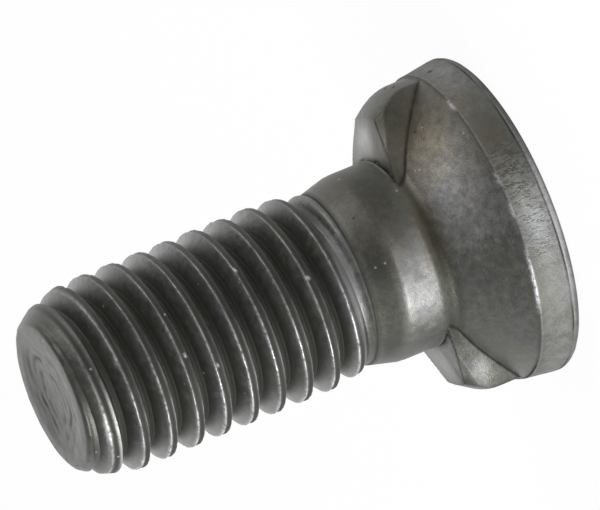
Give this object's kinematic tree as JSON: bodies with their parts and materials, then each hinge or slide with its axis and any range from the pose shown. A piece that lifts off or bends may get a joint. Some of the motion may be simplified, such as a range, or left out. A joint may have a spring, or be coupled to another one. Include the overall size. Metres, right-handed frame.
{
  "type": "plow bolt",
  "caption": "Short steel plow bolt with a flat round countersunk head, anti-turn nibs under the head, a plain neck and a metric right-hand thread.",
  "frame": {"origin": "centre of the flat face of the head, on which the bolt stands", "axes": "+Z along the bolt's axis from the head to the end of the thread, +X and -X through the two nibs"},
  "size_m": [0.0164, 0.0164, 0.025],
  "materials": {
    "phosphated_steel": "dark grey, lightly oiled phosphate finish on forged and rolled steel, satin, with bright rubs along the edges"
  },
  "bodies": {
    "root": {"plow_bolt": "phosphated_steel"}
  },
  "joints": []
}
